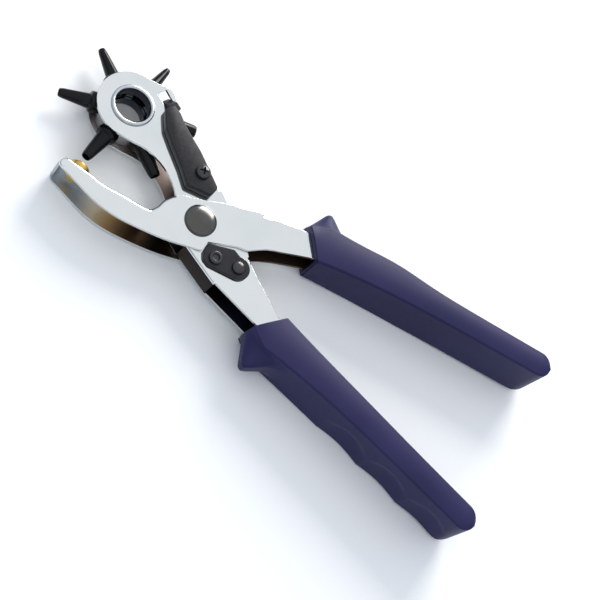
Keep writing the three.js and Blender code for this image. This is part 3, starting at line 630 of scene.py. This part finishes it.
wheel = turned("wheel_form", [
    [WHEEL_BORE, -RIM_HALF], [RIM_REACH - RIM_BEVEL, -RIM_HALF], [RIM_REACH, -RIM_HALF + RIM_BEVEL],
    [RIM_REACH, RIM_HALF - RIM_BEVEL], [RIM_REACH - RIM_BEVEL, RIM_HALF], [WHEEL_BORE, RIM_HALF],
], upright(*WHEEL[:2]), 0.2, 180, closed=True)
hole, face, start, stop = STUB + STUB_PLAY, COLLAR + COLLAR_PLAY, WHEEL_BORE - 3, RIM_REACH + 2
drills = [turned(f"drill_{k}", [
    [0, start], [hole, start], [hole, RIM_SEAT], [face, RIM_SEAT], [face, stop], [0, stop],
], radial(k), 0.02, 64) for k in range(TUBE_COUNT)]
settle(carve(wheel, drills), "punch_wheel", "wheel_body", "bright_steel", WHEEL_STEEL)

# %% [markdown]
# A bush is one profile turned round the wheel's axis, and the back one is the same upside down. The lip is
# the bright ring on the cheek.

# %% The bushes
BUSH_LIP, BUSH_LIP_HEIGHT, BUSH_DEPTH, BUSH_PLAY = 9.1, 1.0, 2.6, 0.15
lip, inside = PUNCH_HALF + SEAT, INNER - BUSH_DEPTH
outside = WHEEL_BORE - BUSH_PLAY
for side, word in ((1, "front"), (-1, "back")):
    bush = turned(f"bush_{word}_form", [[r, side * h] for r, h in (
        (BUSH_BORE, inside), (outside, inside), (outside, lip), (BUSH_LIP, lip),
        (BUSH_LIP, lip + BUSH_LIP_HEIGHT * 0.5), (BUSH_LIP - 0.5, lip + BUSH_LIP_HEIGHT),
        (BUSH_BORE + 0.6, lip + BUSH_LIP_HEIGHT), (BUSH_BORE, lip + BUSH_LIP_HEIGHT * 0.4),
    )], upright(*WHEEL[:2]), 0.3, 144, closed=True)
    settle(bush, f"wheel_bush_{word}", "punch_arm_body", "bright_steel")

# %% [markdown]
# ## Punch tubes
#
# Each tube is one turned piece: a stub in the rim, a thick collar, and a taper that ends in a sharp ring.
# The six bores go up by half a millimetre. Behind its cutting end a bore widens, so that what was punched
# falls through. A hollow profile is a closed loop, so the turned skin has no caps.

# %% The punch tubes
HOLE_FIRST, HOLE_STEP, TUBE_WALL, TUBE_FLARE, TUBE_RELIEF = 2.0, 0.5, 0.5, 1.1, 0.5
CUTTING_EDGE, EDGE_LENGTH, LAND_LENGTH, RELIEF_FROM = 0.12, 1.4, 5, 6.5
FOOT_BEVEL, TOP_BEVEL = 0.3, 0.6
start, base = WHEEL_BORE + 0.5, RIM_SEAT + SEAT
top = base + COLLAR_LENGTH
for k in range(TUBE_COUNT):
    bore = (HOLE_FIRST + HOLE_STEP * k) / 2
    root = min(bore + TUBE_WALL + TUBE_FLARE, COLLAR - TOP_BEVEL)
    relief = min(bore + TUBE_RELIEF, STUB - 0.6)
    tube = turned(f"tube_{k + 1}_form", [
        [relief, start], [STUB, start], [STUB, base], [COLLAR - FOOT_BEVEL, base],
        [COLLAR, base + FOOT_BEVEL], [COLLAR, top - TOP_BEVEL], [COLLAR - TOP_BEVEL, top], [root, top],
        [bore + TUBE_WALL, TUBE_REACH - EDGE_LENGTH], [bore + CUTTING_EDGE, TUBE_REACH],
        [bore, TUBE_REACH], [bore, TUBE_REACH - LAND_LENGTH], [relief, TUBE_REACH - RELIEF_FROM],
    ], radial(k), 0.25, 72, closed=True)
    settle(tube, f"punch_tube_{k + 1}", "wheel_body", "black_oxide", TUBE_BLACK)

# %% [markdown]
# ## Rivets, screws and anvil
#
# The pivot rivet holds both arms together. Its front head is domed and its back head is flat. A dome is a
# quarter ellipse in the profile, above the straight rim of the head.

# %% The pivot rivet
RIVET, RIVET_HEAD, RIVET_RIM, RIVET_DOME = 4.0, 6.7, 0.45, 1.9
front = ANVIL_HALF + SEAT


def cap(radius, low, high, step):
    """A quarter ellipse from the rim to the middle: [radius cos a, low + (high - low) sin a]."""
    return [[radius * np.cos(a), low + (high - low) * np.sin(a)] for a in np.radians(np.arange(0, 90, step))]


settle(turned("pivot_rivet_form", [
    [0, -MID], [RIVET_HEAD, -MID], [RIVET_HEAD, -front], [RIVET, -front], [RIVET, front],
    [RIVET_HEAD, front], *cap(RIVET_HEAD, front + RIVET_RIM, front + RIVET_DOME, 9), [0, front + RIVET_DOME],
], upright(0, 0), 0.12, 128), "pivot_rivet", "punch_arm_body", "dark_steel")

# %% [markdown]
# The lock screw goes through the leaf into the nut. Its cross recess is cut by two bars that narrow
# downwards, as the tip of a screwdriver does.

# %% The lock screw
LOCK_SCREW, SCREW, SCREW_TAIL, SCREW_HEAD = (-9.8, 18.0), 1.5, 2.8, 3.1
SCREW_RIM, SCREW_DOME, WING, WING_HALF = 0.6, 1.8, 2.0, 0.42
under = high + SEAT
screw = turned("lock_screw_form", [
    [0, INNER - SCREW_TAIL], [SCREW, INNER - SCREW_TAIL], [SCREW, under], [SCREW_HEAD, under],
    *cap(SCREW_HEAD, under + SCREW_RIM, under + SCREW_DOME, 15), [0, under + SCREW_DOME],
], upright(*LOCK_SCREW), 0.1, 64)


def wing(angle):
    """One bar of the cross: a rectangle, 0.55 of its size at 0.2 mm up in the head and 1.15 at 2.6 mm."""
    bar = np.array([(-WING, -WING_HALF), (WING, -WING_HALF), (WING, WING_HALF), (-WING, WING_HALF)])
    rings = [np.insert(bar * grow, 2, under + up, axis=1) for up, grow in ((0.2, 0.55), (2.6, 1.15))]
    return skin("wing", placed(np.array(rings), bearing(angle), (0, 0, 1), (*LOCK_SCREW, MID)))


settle(carve(screw, [wing(20), wing(110)]), "lock_screw", "punch_arm_body", "black_oxide", SCREW_BLACK)

# %% [markdown]
# The stop plate is held by a screw with a round recess and by a domed rivet. Both have the same shank and
# the same flat tail inside the channel, and only the head's profile differs.

# %% The stop plate's screw and rivet
STOP_SCREW, STOP_HEAD, STOP_DOME, SHANK, TAIL_HEIGHT = (12.8, -9.7), 2.8, 1.45, 1.4, 0.9
RECESS_TOP, RECESS_FLOOR = 1.55, 1.25


def stop_profile(head):
    """Tail and shank, then the head's points [r, h] with h counted from the plate."""
    tail = INNER - SEAT
    return [[0, tail - TAIL_HEIGHT], [STOP_HEAD - 0.9, tail - TAIL_HEIGHT], [STOP_HEAD - 0.7, tail],
            [SHANK, tail], [SHANK, front], *[[r, front + h] for r, h in head]]


recess = [[STOP_HEAD, 0], [STOP_HEAD, 0.6], [STOP_HEAD - 0.4, 0.9], [RECESS_TOP, 0.9], [RECESS_FLOOR, 0.1],
          [0, 0.1]]
settle(turned("stop_screw_form", stop_profile(recess), upright(*STOP_SCREW), 0.15, 64),
       "stop_screw", "punch_arm_body", "black_oxide", SCREW_BLACK)
button = [[STOP_HEAD, 0], *cap(STOP_HEAD, 0.35, STOP_DOME, 15), [0, STOP_DOME]]
settle(turned("stop_rivet_form", stop_profile(button), upright(*STOP_RIVET), 0.15, 64),
       "stop_rivet", "punch_arm_body", "black_oxide", SCREW_BLACK)

# %% [markdown]
# The anvil is a flat button of soft brass, so that it doesn't blunt the tubes. Its stem goes through the
# jaw's web and is riveted over on the other side.

# %% The anvil
ANVIL, ANVIL_HEIGHT, ANVIL_BEVEL = 4.4, 3.7, 0.5
STEM, STEM_TAIL, STEM_RIM, STEM_END = 2.4, 2.9, 1.4, 1.9
deep = ANVIL_HEIGHT + SHEET
settle(turned("anvil_form", [
    [0, 0], [ANVIL - ANVIL_BEVEL, 0], [ANVIL, ANVIL_BEVEL], [ANVIL, ANVIL_HEIGHT - SEAT],
    [STEM, ANVIL_HEIGHT - SEAT], [STEM, deep + SEAT], [STEM_TAIL, deep + SEAT],
    [STEM_TAIL, deep + STEM_RIM], [STEM_TAIL - 0.6, deep + STEM_END], [0, deep + STEM_END],
], ((0, 0, 1), -bearing(ANVIL_UP), (*ANVIL_FACE, MID)), 0.12, 96), "anvil", "anvil_arm_body", "brass")

# %% [markdown]
# ## Opening spring
#
# One wire: a straight leg leaves the coil at a tangent at each end. The centre line is a helix between two
# lines, and the skin is a circle carried along it.

# %% A coiled wire
WIRE, COIL_TURNS, COIL_GAP, COIL_PLAY, LEG_SHARE = 0.75, 3, 0.55, 0.6, 0.12
COIL = RIVET + COIL_PLAY + WIRE


def spring_path(leg_a, leg_b, samples=700):
    """Helix of radius COIL with its height in step with its angle. LEG_SHARE of the points at each end make
    a leg: the helix's last point drawn in a straight line to leg_a or leg_b. A tangent from a point at
    distance d leaves the circle arccos(COIL / d) to its side."""
    def tangent(point, turn):
        return np.arctan2(point[1], point[0]) + turn * np.arccos(COIL / np.hypot(*point))
    start, end = tangent(leg_a, 1), tangent(leg_b, -1) + 2 * np.pi * COIL_TURNS
    u = np.linspace(0, 1, samples)[:, None]
    k = np.clip((u - LEG_SHARE) / (1 - 2 * LEG_SHARE), 0, 1)
    angle = start + (end - start) * k
    height = (WIRE * 2 + COIL_GAP) * (end - start) / (2 * np.pi)
    line = np.concatenate([COIL * np.cos(angle), COIL * np.sin(angle), height * (k - 0.5)], 1)
    for leg, from_end in ((leg_a, u), (leg_b, 1 - u)):
        line[:, :2] += (np.array(leg) - line[:, :2]) * np.clip(1 - from_end / LEG_SHARE, 0, 1)
    return line


def swept(name, line, radius, sides=20):
    """Circle of the radius carried along a line: each ring is across cos a + over sin a, with across level
    and both square to the line's direction."""
    ahead = np.gradient(line, axis=0)
    ahead /= np.linalg.norm(ahead, axis=1, keepdims=True)
    across = np.cross(ahead, (0, 0, 1))
    across /= np.linalg.norm(across, axis=1, keepdims=True)
    over = np.cross(across, ahead)
    a = np.linspace(0, 2 * np.pi, sides, endpoint=False)[None, :, None]
    return skin(name, line[:, None] + radius * (across[:, None] * np.cos(a) + over[:, None] * np.sin(a)))


print("coil's inner radius:", round(COIL - WIRE, 2), "mm")

# %% [markdown]
# The legs end where the CAD model ends them: one on the punch arm's flange, one under the anvil arm's web.

# %% The opening spring
def on_handle(angle, x, y, side, s, t):
    """A handle's own frame: s runs along it from the grip's mouth and t outwards from its middle."""
    a = np.radians(angle)
    return np.stack([x + s * np.cos(a) - side * t * np.sin(a), y + s * np.sin(a) + side * t * np.cos(a)], -1)


PUNCH_HANDLE = (-10.6, 44.4, -20.9, -1)
ANVIL_HANDLE = (7.9, 43.7, 25.2, 1)
FLANGE = np.array([(0.3, -11.8), (17.9, -18.8)])
WEB = np.array([(22.4, 20.9), on_handle(*ANVIL_HANDLE, -7.2, 1.8)])
WIRE_PLAY = 0.3


def beside(line, share, side):
    """The point at a share of a line from end to end, moved off it by the sheet, the wire and its play."""
    span = line[1] - line[0]
    run = span / np.linalg.norm(span)
    return line[0] + span * share + side * np.array([-run[1], run[0]]) * (SHEET + WIRE + WIRE_PLAY)


coil = spring_path(beside(FLANGE, 0.7, 1), beside(WEB, 0.3, -1)) + np.array([0, 0, MID])
settle(swept("opening_spring_form", coil, WIRE), "opening_spring", "punch_arm_body", "spring_steel")

# %% [markdown]
# ## Grips
#
# Both grips are one moulded form: narrow seen from above, deep seen from the side, with upright walls, a
# slightly crowned top and crisp ridges. A guard stands out at the mouth. The punch arm's grip has three
# finger grooves low on its outer side. The sizes change along the grip, so each is a function of s, the
# distance from the mouth.

# %% Sizes along a grip
GUARD_REACH, GUARD_FOOT, GUARD_TIP, GUARD_FALL, GUARD_ROUND = 17.5, -6.2, 2.5, 7.8, 0.7
GROOVES, GROOVES_FROM, GROOVE_LENGTH, GROOVE_DEPTH = 3, 43, 22.5, 1.2


def smooth(x):
    """Cubic step from 0 to 1: 3 x^2 - 2 x^3."""
    x = np.clip(x, 0, 1)
    return x * x * (3 - 2 * x)


def half_height(s):
    """11.4 - 3 (1 - s / 60)^2, level beyond s = 60."""
    return 11.4 - 3.0 * np.clip(1 - s / 60, 0, 1) ** 2


def half_width(s):
    """5.5 + 4 exp(-s / 30)."""
    return 5.5 + 4.0 * np.exp(-s / 30)


def outer_width(s, belly):
    """The half width and a belly, belly exp(-((s - 36) / 16)^2), kept under 5.6 + 0.45 (s + 2.8)."""
    return np.minimum(half_width(s) + belly * np.exp(-((s - 36) / 16) ** 2), 5.6 + 0.45 * (s + 2.8))


def guard(s, belly):
    """How far the guard stands out. The front rises as its share of the way from foot to tip to the power
    1.3, the back falls away as exp(-(d / GUARD_FALL)^2) from the tip, and the soft minimum of the two,
    -k ln(exp(-a / k) + exp(-b / k)), rounds the tip."""
    tall, k = GUARD_REACH - outer_width(GUARD_TIP, belly), GUARD_ROUND
    rise = tall * np.clip((s - GUARD_FOOT) / (GUARD_TIP - GUARD_FOOT), 0, 2) ** 1.3
    fall = tall * np.exp(-((s - GUARD_TIP) / GUARD_FALL) ** 2)
    return -k * np.log(np.exp(-rise / k) + np.exp(-fall / k))


def groove(s):
    """Dips side by side: GROOVE_DEPTH |sin(pi n)|, n counted in grooves from s = GROOVES_FROM."""
    n = (s - GROOVES_FROM) / GROOVE_LENGTH
    return np.where((n > 0) & (n < GROOVES), GROOVE_DEPTH * np.abs(np.sin(np.pi * n)), 0)


print("grip's width at 0, 40 and 80 mm:", (2 * half_width(np.array([0, 40, 80]))).round(1))

# %% [markdown]
# ### A section of a grip
#
# Seen from its end, the grip is a rectangle with small round ridges, an upright wall on each side and a
# slightly crowned top. Every section has the same points, each a fixed mix of the sizes at its place, so a
# table of those shares is made once and serves the sections of both grips.

# %% Points round a grip
END_ROUND, END_SQUARE, RIDGE, CROWN = 6.0, 2.0, 1.0, 0.6
SOLE_LENGTH, SOLE_RISE, SOLE_STUB, END_DROP = 9, 5.5, 0.05, 1.2
GROOVE_CLIMB, GROOVE_FADE, GUARD_FADE = 3.9, 4.0, 5.4


def section_columns():
    """Each point round the section as shares of the sizes there: outer, inner and ridge for its place
    across; low, edge, crown and ridge for its height; and 1 where the guard stands out. Counted from the
    lower outer edge up, over the top, down the inner side and back underneath."""
    def stretch(*shares):
        return np.stack(np.broadcast_arrays(*shares), 1)

    def corner(outer, low, turn):
        a = np.radians(turn + np.linspace(0, 90, 8))
        across, up = np.cos(a) + (1 - 2 * outer), np.sin(a) + (2 * low - 1)
        return stretch(outer, 1 - outer, across, low, 1 - low, 0, up, 0)

    def wall(outer, k):
        return stretch(outer, 1 - outer, 0, 1 - k, k, 0, 1 - 2 * k, outer)

    def face(low, q):
        crown = (1 - low) * (1 - q * q)
        return stretch(np.maximum(q, 0), np.maximum(-q, 0), -q, low, 1 - low, crown, 0, 0)

    return np.concatenate([
        corner(1, 1, -90), wall(1, np.linspace(0, 1, 34)[1:-1]),
        corner(1, 0, 0), face(0, np.linspace(1, -1, 16)[1:-1]),
        corner(0, 0, 90), wall(0, np.linspace(1, 0, 20)[1:-1]),
        corner(0, 1, 180), face(1, np.linspace(-1, 1, 10)[1:-1]),
    ]).T


COLUMNS = section_columns()


def grip_section(s, length, belly, grooved):
    """Across and up, in mm from the grip's middle, at distances s: an array with one column per point. The
    sides close over the last END_ROUND mm as (1 - p^n)^(1 / n), and the sole rises by nearly SOLE_RISE over
    the last SOLE_LENGTH mm as a quarter ellipse. Grooves fade out upwards, the guard towards the ridges."""
    to_outer, to_inner, to_ridge, to_low, to_edge, to_crown, up_ridge, on_guard = COLUMNS
    past = np.clip((s - length + END_ROUND) / END_ROUND, 0, 1)
    shrink = (1 - past ** END_SQUARE) ** (1 / END_SQUARE)
    inner, outer = half_width(s) * shrink, outer_width(s, belly) * shrink
    sole = np.sqrt(1 - np.clip((s - length + SOLE_LENGTH) / (SOLE_LENGTH + SOLE_STUB), 0, 1) ** 2)
    low = half_height(s) - SOLE_RISE * (1 - sole)
    edge = half_height(s) - END_DROP * (1 - shrink) - CROWN
    r = np.minimum(RIDGE, inner / 3)
    up = to_edge * edge - to_low * low + to_crown * CROWN + up_ridge * r
    dip = groove(s) * smooth((GROOVE_CLIMB * groove(s) - up) / GROOVE_FADE) if grooved else 0
    stand = on_guard * guard(s, belly) * smooth((edge - RIDGE - np.abs(up)) / GUARD_FADE)
    return to_outer * (outer - dip) - to_inner * inner + to_ridge * r + stand, up


print("points round a grip:", COLUMNS.shape[1])

# %% [markdown]
# ### The loft of a grip
#
# A grip is one skin: it starts at the bottom of the pocket for the arm's tang, comes out at the slanted
# mouth, turns over its lip and runs along the outside to the domed end.

# %% Rings of a grip
MOUTH_OFFSET, MOUTH_SLANT, HEAD_LENGTH = -1.3, 0.575, 20
HEAD_RINGS, BODY_RINGS, END_RINGS, END_ANGLE = 60, 150, 24, 84

# The tang's two edges as s and across, the gap round it, and where the rings of its pocket and the lip lie
TANG_OUTER = ((-30, 0, 20, 75), (4.4, 2.6, 3.0, 3.6))
TANG_INNER = ((-30, 1, 20, 75), (-14, -7.8, -5.4, -3.6))
TANG_PLAY, POCKET_DEPTHS, POCKET_SHARE = 0.15, (75, 40, 20, 10, 5), 0.6
LIP, LIP_TURN = ((0.06, 0.0), (0.03, 0.0), (0.012, 0.1)), 0.35


def mouth_at(across):
    """The slanted mouth plane: s = MOUTH_OFFSET - MOUTH_SLANT t."""
    return MOUTH_OFFSET - MOUTH_SLANT * across


def outer_rings(length, belly, grooved):
    """s, across and up of the outside. Its first ring lies on the slanted mouth: s goes half way to the
    mouth's own s, 60 times. Over HEAD_LENGTH mm the rings come square, as the share of the way to the power
    1.2, and over the last END_ROUND mm they crowd together as sin a."""
    start = np.full(COLUMNS.shape[1], -1.0)
    for _ in range(60):
        start = 0.5 * (start + mouth_at(grip_section(start, length, belly, grooved)[0]))
    end = length - END_ROUND
    head = start + (HEAD_LENGTH - start) * np.linspace(0, 1, HEAD_RINGS)[:-1, None] ** 1.2
    tail = np.concatenate([np.linspace(HEAD_LENGTH, end, BODY_RINGS)[:-1],
                           end + END_ROUND * np.sin(np.linspace(0, np.radians(END_ANGLE), END_RINGS))])
    s = np.concatenate([head, np.repeat(tail[:, None], len(start), 1)])
    return s, *grip_section(s, length, belly, grooved)


def pocket_ring(across, up, at):
    """Across and up of a ring of the pocket: the mouth's points drawn towards the tang's middle until they
    lie on a rectangle TANG_PLAY outside the tang."""
    out, back = np.interp(at, *TANG_OUTER) + TANG_PLAY, np.interp(at, *TANG_INNER) - TANG_PLAY
    middle, half = (out + back) / 2, (out - back) / 2
    reach = np.minimum(half / np.maximum(np.abs(across - middle), 1e-9),
                       (PUNCH_HALF + TANG_PLAY) / np.maximum(np.abs(up), 1e-9))
    return middle + (across - middle) * reach, up * reach


def grip_rings(handle, length, belly, grooved):
    """Rings from the bottom of the pocket out to the mouth, over its lip and along the grip. A ring of the
    lip is the mouth's own, drawn towards its centre by a share and set back by a distance."""
    s, across, up = outer_rings(length, belly, grooved)
    mouth, height = across[0], up[0]
    depths = [np.full(len(mouth), float(depth)) for depth in POCKET_DEPTHS]
    rows = [(at, *pocket_ring(mouth, height, at)) for at in depths]
    t, h = pocket_ring(mouth, height, mouth_at(mouth * POCKET_SHARE))
    rows.append((mouth_at(t), t, h))
    for share, back in LIP:
        t = mouth + (mouth.mean() - mouth) * share
        rows.append((mouth_at(t) + back, t, height * (1 - share)))
    pocket = np.array(rows)
    s = np.concatenate([pocket[:, 0], s[:1] + LIP_TURN, s[1:]])
    across, up = np.concatenate([pocket[:, 1], across]), np.concatenate([pocket[:, 2], up])
    return np.concatenate([on_handle(*handle, s, across), (up + MID)[..., None]], -1)

# %% [markdown]
# The two grips differ only in length, in the belly of the outer side and in the grooves.

# %% Both grips
GRIP_LENGTH, GROOVED_SHORTER, BELLY = 117.5, 3.55, 1.5
for name, handle, length, belly, grooved in (
    ("punch_arm", PUNCH_HANDLE, GRIP_LENGTH - GROOVED_SHORTER, 0.0, True),
    ("anvil_arm", ANVIL_HANDLE, GRIP_LENGTH, BELLY, False),
):
    made = skin(f"grip_{name}_form", grip_rings(handle, length, belly, grooved), angle=50)
    settle(made, f"grip_{name}", f"{name}_body", "vinyl", VINYL)

# %% [markdown]
# ## Table and light
#
# The pliers lie on a white table on both grips, with the nose of the anvil arm touching it too, so the
# table is a plane through those points and the model stays as it is. The grips touch it at x = GRIPS_AT,
# which is TOUCH_S along them.

# %% The table
TABLE, TABLE_GAP, GRIPS_AT, TOUCH_S = 12000, 0.02, 88, 43.0
nose = np.array(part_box("anvil_arm")[0]) / U
slope = (nose[2] - (MID - half_height(TOUCH_S))) / (GRIPS_AT - nose[0])
corners = np.array([[x, y, nose[2] - TABLE_GAP - slope * (x - nose[0])] for x, y in
                    ((-TABLE, -TABLE), (TABLE, -TABLE), (TABLE, TABLE), (-TABLE, TABLE))])
table_mesh = bpy.data.meshes.new("table")
table_mesh.from_pydata((corners * U).tolist(), [], [(0, 1, 2, 3)])
table = new_object("table", table_mesh)
paper = Finish("white table", (0.93, 0.935, 0.94), 0.7, edge=0)
paper.rough(paper.noise(300), 0.6, 0.75)
table.data.materials.append(paper.done())
print("table slope:", np.degrees(np.arctan(slope)).round(2), "degrees")

# %% [markdown]
# The sky is white above and darker towards the horizon, which is what gives chrome its contrast.

# %% The sky
SKY = ((0.0, (0.86, 0.90, 0.97)), (1.0, (0.96, 0.985, 1.0)), (0.5, (0.08, 0.10, 0.14)),
       (0.58, (0.26, 0.31, 0.40)), (0.78, (0.79, 0.88, 1.0)))
world = bpy.data.worlds.new("studio")
scene.world = world
world.use_nodes = True
sky = world.node_tree
place = sky.nodes.new("ShaderNodeTexCoord").outputs["Generated"]
split = sky.nodes.new("ShaderNodeSeparateXYZ")
sky.links.new(place, split.inputs["Vector"])
level = sky.nodes.new("ShaderNodeMapRange")
level.inputs["From Min"].default_value, level.inputs["From Max"].default_value = -1.0, 1.0
sky.links.new(split.outputs["Z"], level.inputs["Value"])
shade = sky.nodes.new("ShaderNodeValToRGB")
marks = shade.color_ramp.elements
for element, (position, value) in zip([marks[0], marks[1], *(marks.new(0.5) for _ in SKY[2:])], SKY):
    element.position = position
    element.color = (*value, 1.0)
sky.links.new(level.outputs["Result"], shade.inputs["Fac"])
ground = sky.nodes["Background"]
sky.links.new(shade.outputs["Color"], ground.inputs["Color"])
ground.inputs["Strength"].default_value = 1.0
print("sky stops:", len(marks))

# %% [markdown]
# A large soft lamp stands behind the pliers, low enough for a long soft shadow.

# %% The lamp
AIM = np.array([0.04, 0, 0])


def lamp(name, toward, size, power, color):
    """A square area lamp at AIM + toward, in metres, that faces AIM. Its x axis is level."""
    toward = np.array(toward, float)
    data = bpy.data.lights.new(name, "AREA")
    data.size, data.energy, data.color = size, power, color
    made = bpy.data.objects.new(name, data)
    scene.collection.objects.link(made)
    z = toward / np.linalg.norm(toward)
    x = np.cross((0, 0, 1), z)
    x /= np.linalg.norm(x)
    turn = np.eye(4)
    turn[:3, 0], turn[:3, 1], turn[:3, 2], turn[:3, 3] = x, np.cross(z, x), z, AIM + toward
    made.matrix_world = Matrix(turn.tolist())
    print(name, "stands", np.linalg.norm(toward).round(2), "m away")


lamp("key lamp", (0.05, 0.90, 0.46), 0.5, 10.4, (1.0, 0.975, 0.935))
scene.view_settings.view_transform = "Standard"
